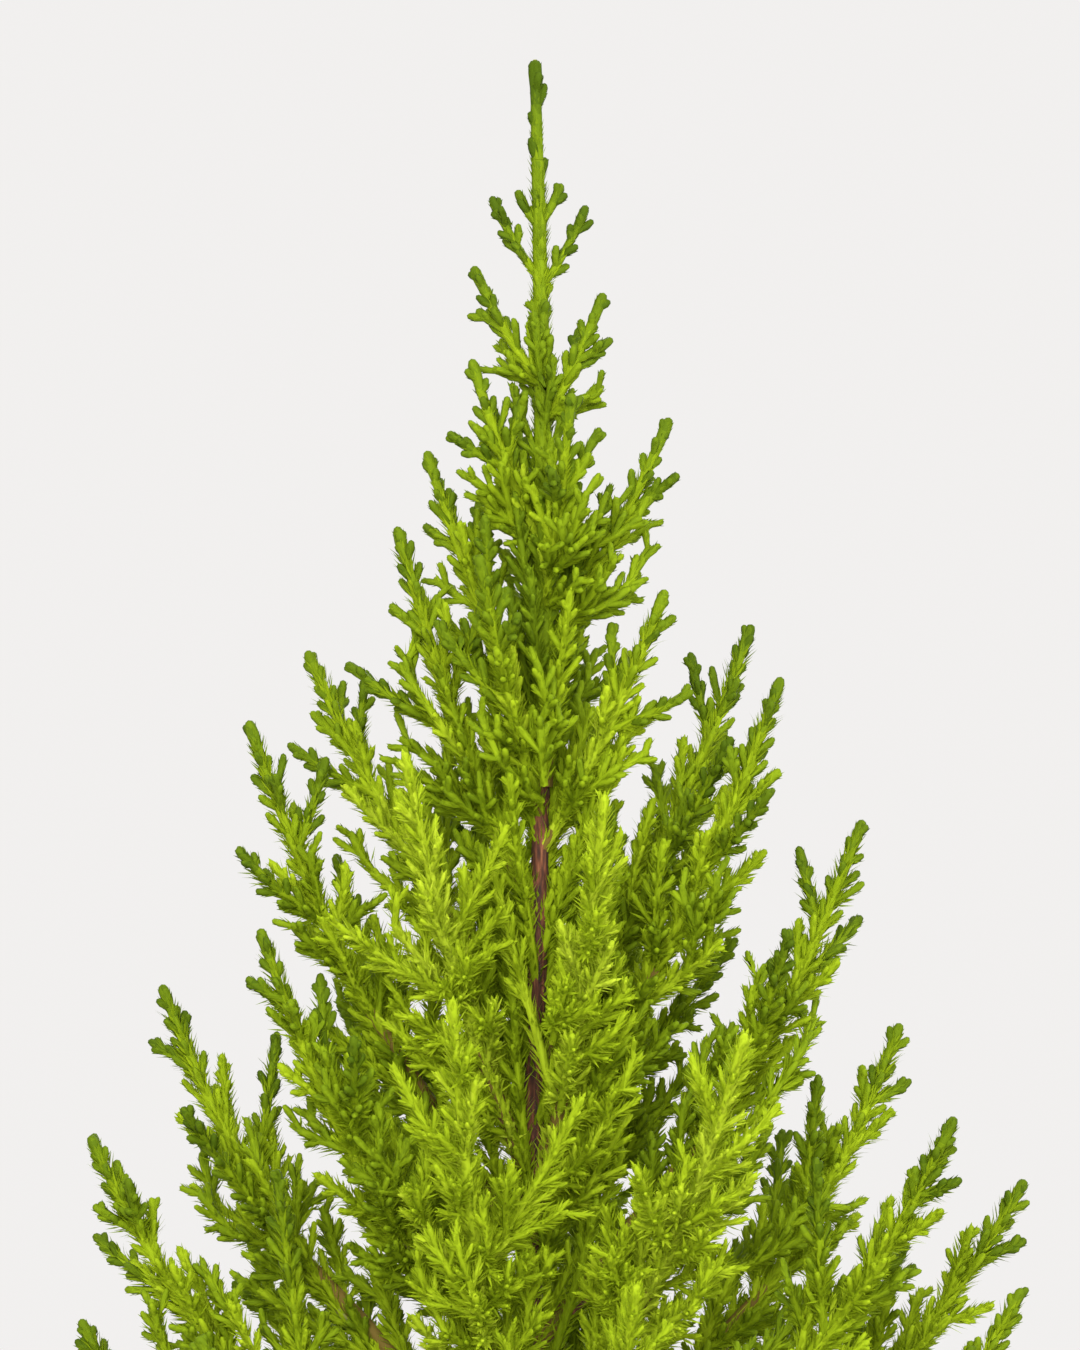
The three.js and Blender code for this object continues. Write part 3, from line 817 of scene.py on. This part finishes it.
def relief_tube(points, radii, sides, depth, seed):
    """A closed tube along points, its skin raised in long fibres: its vertices and triangles."""
    along = unit(np.gradient(points, axis=0))
    u = unit(np.cross(along, [0.35, 1.0, 0.1]))
    v = np.cross(along, u)
    turns = np.arange(sides) * 2 * pi / sides
    travelled = np.concatenate([[0], np.cumsum(np.linalg.norm(np.diff(points, axis=0), axis=1))])
    rows = []
    for point, a, b, radius, far in zip(points, u, v, radii, travelled):
        for turn in turns:
            fibre = Vector((cos(turn) * 2.6, sin(turn) * 2.6, far / (9 * MM) + seed))
            lump = Vector((cos(turn), sin(turn), far / (26 * MM) + seed))
            raised = 1 + depth * (noise.noise(fibre * 1.7) + 0.5 * noise.noise(lump * 1.3))
            rows.append(point + (a * cos(turn) + b * sin(turn)) * radius * raised)
    return capped(rows, skin_of_rings(len(points), sides), sides, points[0], points[-1])


def trunk_piece(trunk, bark, stem):
    """The whole trunk, brown below and green where it is this year's growth."""
    heights = trunk.height(np.linspace(0, 1, TRUNK_RINGS) ** 1.15)
    centres, radii = trunk.at(heights), trunk.radius(heights)
    points, triangles = relief_tube(centres, radii, TRUNK_SIDES, TRUNK_RELIEF, 3.0)
    points[:, 2] = np.maximum(points[:, 2], trunk.foot)
    heights_of = points[triangles].mean(1)[:, 2] + rng.normal(0, 6 * MM, len(triangles))
    green = heights_of > trunk.height(GREEN_FROM)
    return make_piece("trunk_bark", points, triangles, [bark, stem], green, True)


def bough_piece(trunk, plumes, bark, stem):
    """Every plume's own limb from the trunk to its tip, with bark on its older part."""
    lots, triangles, tints, base = [], [], [], 0
    steps = np.linspace(0, 0.97, BOUGH_RINGS)
    share = np.repeat(np.linspace(0, 1, BOUGH_RINGS - 1), 2 * BOUGH_SIDES)
    share = np.concatenate([share, np.tile([0.0, 1.0], BOUGH_SIDES)])
    for i in range(len(plumes)):
        thick = BOUGH_THICK * trunk.radius(plumes.root[i, 2])
        radii = mix(BOUGH_THIN, thick, (1 - steps) ** 0.9)
        line = plumes.point(i, steps)
        points, own_triangles = relief_tube(line, radii, BOUGH_SIDES, BOUGH_RELIEF, 7.0 * i)
        lots.append(points)
        triangles.append(own_triangles + base)
        tints.append(share + rng.normal(0, 0.04, len(share)) > BOUGH_GREEN_FROM)
        base += len(points)
    return make_piece("bough_bark", np.concatenate(lots), np.concatenate(triangles), [bark, stem],
                      np.concatenate(tints), True)


# ---- Pot and soil ----

def lathe(profile, sides, wander, first_height, last_height):
    """Turns (radius, height) pairs round the Z axis into a closed skin. wander(turn, height) adds to the
    radius, and the heights are those of the middles of its two ends."""
    rows = []
    for radius, height in profile:
        for turn in np.arange(sides) * 2 * pi / sides:
            r = radius + wander(turn, height)
            rows.append((r * cos(turn), r * sin(turn), height))
    skin = skin_of_rings(len(profile), sides)
    return capped(rows, skin, sides, (0, 0, first_height), (0, 0, last_height))


def along_profile(points, step):
    """Points about a step apart along straight stretches between the given (radius, height) points."""
    out = []
    for (r0, z0), (r1, z1) in zip(points, points[1:]):
        pieces = max(1, int(hypot(r1 - r0, z1 - z0) / step))
        out += [(r0 + (r1 - r0) * k / pieces, z0 + (z1 - z0) * k / pieces) for k in range(pieces)]
    return out + [points[-1]]


def rounded(corner, before, after, radius):
    """A corner of a profile as a short curve."""
    corner, before, after = (np.array(p, float) for p in (corner, before, after))
    a = corner + unit(before - corner) * radius
    b = corner + unit(after - corner) * radius
    return [tuple((1 - t) ** 2 * a + 2 * t * (1 - t) * corner + t * t * b) for t in np.linspace(0, 1, 5)]


def pot_piece(material):
    """A turned clay pot: its foot, collar and rim from the solid, with rounded edges and faint lines."""
    points, _ = corners("pot")
    away = np.hypot(points[:, 0], points[:, 1])
    height = points[:, 2].max()
    levels = np.unique(points[:, 2].round(4))
    collar = levels[levels > 0.5 * height][0]
    foot, waist = (away[np.abs(points[:, 2] - level) < 0.6 * MM].max() for level in (0, collar))
    rim, wall, base, sides = away.max(), 7 * MM, 10 * MM, 96
    outline = [(2 * MM, 0), (foot, 0), (waist, collar), (rim - 1 * MM, collar), (rim, height),
               (rim - wall - 3 * MM, height), (foot - wall, base), (2 * MM, base)]
    edges = [0, 2 * MM, 1 * MM, 2.5 * MM, 3 * MM, 2.5 * MM, 3 * MM, 0]
    profile = [outline[0]]
    for i in range(1, len(outline) - 1):
        profile += rounded(outline[i], outline[i - 1], outline[i + 1], edges[i])
    profile = along_profile(profile + [outline[-1]], 2.6 * MM)

    def wander(turn, level):
        lines = 0.10 * MM * sin(level / (2.1 * MM) + 2 * sin(turn))
        dents = noise.noise(Vector((cos(turn) * 2, sin(turn) * 2, level / (30 * MM))))
        return lines + 0.35 * MM * dents - 0.3 * MM

    vertices, triangles = lathe(profile, sides, wander, 0, base)
    return make_piece("clay_pot", vertices, triangles, [material], None, True)


CRUMB_POINTS = np.array([[1, 0, 0], [-1, 0, 0], [0, 1, 0], [0, -1, 0], [0, 0, 1], [0, 0, -1]], float)
CRUMB_FACES = np.array([[0, 2, 4], [2, 1, 4], [1, 3, 4], [3, 0, 4],
                        [2, 0, 5], [1, 2, 5], [3, 1, 5], [0, 3, 5]])
CRUMBS = 2800
CRUMB_SHARES = (0.36, 0.38, 0.22, 0.04)  # dark, brown, bark chip, grit


def soil_piece(materials):
    """An uneven bed of soil, strewn with crumbs, bark chips and a little grit."""
    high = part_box("soil")[1]
    radius, level, rings, sides = high.x, high.z - 1.5 * MM, 44, 96
    profile = [(radius * (1 - k / rings), level) for k in range(rings)]
    points, triangles = lathe(profile, sides, lambda turn, height: 0, level - 6 * MM, level)
    for point in points[:-2]:
        where = Vector(point) / (9 * MM)
        point[2] += 1.6 * MM * noise.noise(where) + 0.9 * MM * noise.noise(where * 3.1)
    lots, faces, tints, base = [points], [triangles], [np.zeros(len(triangles), int)], len(points)
    away = (radius - 3 * MM) * np.sqrt(rng.uniform(0.004, 1, CRUMBS))
    turn = rng.uniform(0, 2 * pi, CRUMBS)
    sizes = np.minimum(rng.gamma(2.2, 0.42 * MM, CRUMBS) + 0.5 * MM, 3.2 * MM)
    kinds = rng.choice(len(materials), CRUMBS, p=CRUMB_SHARES)
    for r, a, size, kind in zip(away, turn, sizes, kinds):
        stretch = rng.uniform(0.6, 1.5, 3) * (1, 1, 0.6)
        turned = np.linalg.qr(rng.normal(size=(3, 3)))[0]
        turned *= np.sign(np.linalg.det(turned))
        centre = [r * cos(a), r * sin(a), level + rng.uniform(-0.2, 0.9) * size]
        lots.append((CRUMB_POINTS * rng.uniform(0.75, 1.1, (6, 1)) * stretch * size) @ turned + centre)
        faces.append(CRUMB_FACES + base)
        tints.append(np.full(len(CRUMB_FACES), kind))
        base += len(CRUMB_POINTS)
    return make_piece("potting_soil", np.concatenate(lots), np.concatenate(faces), materials,
                      np.concatenate(tints))


# ---- The plant ----

# The front plumes are looser and get painted light; the back and right plumes get painted shade.
FEATHERY_PAINTED_LIGHT_PLUMES = ("mid_front", "mid_front_left", "low_front_left", "low_front_right", "base_front",
               "base_front_right", "skirt_front")
PAINTED_SHADE_PLUMES = ("upper_back", "mid_back", "base_back", "shoulder_back", "mid_right_low", "mid_right",
               "low_right")
# Wider gaps are left between the sprays of these.
AIRY_PLUMES = ("mid_right", "mid_right_low", "low_right", "low_right_far", "low_right_front",
               "skirt_right", "mid_left_low", "low_left_far", "skirt_left")


def fill_masses(older, names, tone, feather):
    """Filling sprays for all the masses."""
    filling = []
    for index, name in enumerate(names):
        gap = FILLING["airy_gap" if name in AIRY_PLUMES else "gap"]
        own_feather = max(feather[index], FILLING["feather"])
        filling += filling_sprays(older, index, tone[index], own_feather, gap)
    return joined(*filling)


def crown(trunk):
    """Every shoot of the crown, of all orders, and the plumes' own axes."""
    outline = Outline(MASSES + [SPIRE])
    plume_rows, spray_rows = read_plumes(trunk)
    names = [node.replace("foliage_", "") for node in MASSES]
    pale, dark = (np.array([name in group for name in names]) for group in (FEATHERY_PAINTED_LIGHT_PLUMES, PAINTED_SHADE_PLUMES))
    # Painted light on the front plumes, painted shade on the back and right ones.
    tone = PLUME_TONE + PAINTED_LIGHT_BY * pale - PAINTED_SHADE_BY * dark + rng.normal(0, PLUME_UNEVEN, len(MASSES))
    feather = PALE_FEATHER * pale
    plumes = as_shoots(plume_rows, 0, tone, feather)
    of_spray = [row[3] for row in spray_rows]
    sprays = as_shoots(spray_rows, 1, tone[of_spray] - SPRAY_SHADE, feather[of_spray])
    spire = as_shoots(read_spire(trunk), 1, SPIRE_TONE)
    ruled = in_bounds(grow(plumes, SPRAYS, 1), outline, trunk)
    older = joined(plumes, sprays, ruled)
    # The filling sprays get painted shade.
    filling = clear_of_trunk(fill_masses(older, names, tone - FILLING_PAINTED_SHADE, feather), trunk)
    leader_from, leader_to = trunk.height(LEADER_FROM), trunk.top - LEADER_TOP
    leader = trunk_stretches(trunk, leader_from, leader_to, 4, LEADER_TONE)
    leader_top = trunk_stretches(trunk, leader_to, trunk.top, 2, LEADER_TOP_TONE)
    lower_trunk = trunk_stretches(trunk, trunk.foot + BARE_FOOT, leader_from, 6, LOWER_TRUNK_TONE)
    from_trunk = joined(grow(leader, TRUNK_SHOOTS, 1), grow(lower_trunk, INNER_BOUGHS, 1))
    from_trunk = in_bounds(from_trunk, outline, trunk)
    stubs = grow(leader_top, LEADER_STUBS, 1)
    bearers = (plumes, sprays, ruled, spire, from_trunk, filling)
    rules = [SIDE_SHOOTS] * 5 + [BUSHY_SHOOTS]
    side_shoots = joined(*[grow(group, rule, 2) for group, rule in zip(bearers, rules)])
    side_shoots = in_bounds(side_shoots, outline, trunk)
    twigs = in_bounds(grow(side_shoots, TWIGS, 3), outline, trunk)
    shoots = joined(*bearers, stubs, leader, leader_top, side_shoots, twigs)
    shade(shoots, trunk)
    return shoots, plumes


def shade(shoots, trunk):
    """Darkens the crown's top but for its inside, which gets painted light, and gives the lower crown's
    inside painted shade.
    """
    middles = shoots.point(EVERY, 0.6)
    boxes = np.array([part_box(node) for node in MASSES])
    heights, reaches = boxes[:, 1, 2], np.abs(boxes[:, :, :2]).max((1, 2))
    upwards = np.argsort(heights)
    envelope = np.maximum.accumulate(reaches[upwards][::-1])[::-1]
    inside = 1 - trunk.distance(middles) / np.interp(middles[:, 2], heights[upwards], envelope)
    low = lowness(middles[:, 2])
    # Painted light inside the crown's top, painted shade inside its lower part.
    shoots.tone += mix(*INSIDE_PAINTED_LIGHT_AND_SHADE, low) * smooth(inside, 0.45, 0.95) + TOP_TONE * (1 - low)


# Each kind of stem: its name, order, number of sides, and the places of its rings.
STEM_KINDS = (
    ("axes", 0, 7, [(0.45, 0.05), (1.6, 0.12), (4.2, 0.25), (8.5, 0.36), (16, 0.45), (28, 0.55),
                    (42, 0.66), (60, 0.78), (90, 0.9), (400, 1.0)]),
    ("sprays", 1, 5, [(0.45, 0.06), (1.6, 0.15), (4.2, 0.3), (9, 0.45), (20, 0.7), (99, 1.0)]),
    ("side_shoots", 2, 5, [(0.5, 0.1), (2.6, 0.4), (99, 1.0)]),
    ("twigs", 3, 4, [(0.4, 0.1), (1.6, 0.4), (99, 1.0)]),
)


def foliage(shoots):
    """Needles and stems for every shoot, each kind joined apart."""
    tints = foliage_materials()
    rows, from_tip, points = needles_on(shoots)
    # Darker tips: the own green of new growth, and painted shade.
    tone = shoots.tone[rows] + age_and_painted_shade_tone(from_tip, shoots.feather[rows])
    tint = tint_of(tone + rng.normal(0, SPECKLE, len(rows)))
    tint = np.repeat(tint[:, None], len(AWL_FACES), 1)
    in_lots("needles", shoots.mass[rows], points, AWL_FACES, tint, tints)
    for kind, order, sides, places in STEM_KINDS:
        group = some_of(shoots, shoots.order == order)
        points, pattern, distances = stems_of(group, sides, places)
        from_tip = distances + column(group.beyond)
        tone = column(group.tone) + age_and_painted_shade_tone(from_tip, column(group.feather))
        tint = tint_of(tone + rng.normal(0, SPECKLE, tone.shape))
        turning = np.where(column(group.mass) == len(MASSES), LEADER_BROWN_BEYOND, BROWN_BEYOND)
        tint[from_tip > turning + rng.normal(0, 8 * MM, tone.shape)] = SHADES
        in_lots(kind, group.mass, points, pattern, tint, tints, True)


# ---- Stage, light and camera ----

FLOOR_RADIUS = 2.8
FLOOR_CLEARS = (0.35, 0.97)  # as shares of its radius


def floor_material():
    """Pale paint that clears towards the floor's edge, so that no edge shows against the backdrop."""
    stops = [(0.3, (0.44, 0.43, 0.425)), (0.7, (0.46, 0.45, 0.445))]
    material, shader = cloudy("floor_paint", (0.45, 0.44, 0.435), 0.8, stops, 3, detail=2)
    tree = material.node_tree
    place, away, clearing, clear, mixed = add_nodes(
        tree, "TexCoord", "VectorMath", "MapRange", "BsdfTransparent", "MixShader")
    away.operation = "LENGTH"
    clearing.interpolation_type = "SMOOTHSTEP"
    for end, share in zip(("From Min", "From Max"), FLOOR_CLEARS):
        clearing.inputs[end].default_value = share * FLOOR_RADIUS
    link_nodes(tree, (place, "Object", away, 0), (away, "Value", clearing, "Value"),
               (clearing, "Result", mixed, "Fac"), (shader, "BSDF", mixed, 1), (clear, "BSDF", mixed, 2),
               (mixed, "Shader", tree.nodes["Material Output"], "Surface"))
    return material


def lay_floor():
    """A round floor under the pot."""
    mesh = bpy.data.meshes.new("floor")
    turns = np.linspace(0, 2 * pi, 97)[:-1]
    mesh.from_pydata([(FLOOR_RADIUS * cos(a), FLOOR_RADIUS * sin(a), 0) for a in turns], [],
                     [list(range(len(turns)))])
    mesh.materials.append(floor_material())
    floor = add_object("floor", mesh)


# Name, place, the height on the tree that it is turned to, diameter and watts.
LIGHTS = (
    ("key", (-0.25, -3.35, 1.4), 0.45, 2.3, 175),
    ("fill", (2.6, -2.0, 1.0), 0.45, 2.0, 42),
    ("back", (0.9, 3.2, 1.5), 0.45, 2.2, 80),
    ("top", (0.1, 0.4, 2.6), 0.4, 1.6, 16),
)


def light_studio():
    """Soft round lights, and a pale backdrop all round."""
    for name, place, target_height, size, power in LIGHTS:
        light = bpy.data.lights.new(name, "AREA")
        light.shape = "DISK"
        light.size = size
        light.energy = power
        lamp = add_object(name, light)
        lamp.location = place
        towards = Vector((0, 0, target_height)) - Vector(place)
        lamp.rotation_euler = towards.to_track_quat("-Z", "Y").to_euler()
    world = bpy.data.worlds.new("studio")
    world.use_nodes = True
    backdrop = world.node_tree.nodes["Background"]
    backdrop.inputs["Color"].default_value = (0.93, 0.915, 0.905, 1)
    backdrop.inputs["Strength"].default_value = 0.95
    scene.world = world
    scene.view_settings.view_transform = "Standard"


VIEW_HEIGHT = 0.405  # how much of the tree's height the camera takes in
VIEW_DISTANCE = 2.0  # from the trunk
VIEW_ABOVE_TOP = 18 * MM  # the clear space over the leader
VIEW_ASIDE = 1.5 * MM  # how far the camera stands to the right


def place_camera():
    """Level with the crown, straight on to its front, so close in that the pot is out of view."""
    data = bpy.data.cameras.new("camera")
    data.lens = data.sensor_width * VIEW_DISTANCE / VIEW_HEIGHT
    camera = add_object("camera", data)
    camera.location = (VIEW_ASIDE, -VIEW_DISTANCE, cad_box[1].z + VIEW_ABOVE_TOP - VIEW_HEIGHT / 2)
    camera.rotation_euler = (radians(90), 0, 0)
    scene.camera = camera


trunk = Trunk()
shoots, plumes = crown(trunk)
foliage(shoots)
bark, stem = bark_material(), stem_material()
stand_for(trunk_piece(trunk, bark, stem), "bark", "trunk")
stand_for(bough_piece(trunk, plumes, bark, stem), "bark", *BOUGHS)
stand_for(pot_piece(clay_material()), "pot", "pot")
stand_for(soil_piece(soil_materials()), "soil", "soil")
lay_floor()
light_studio()
place_camera()
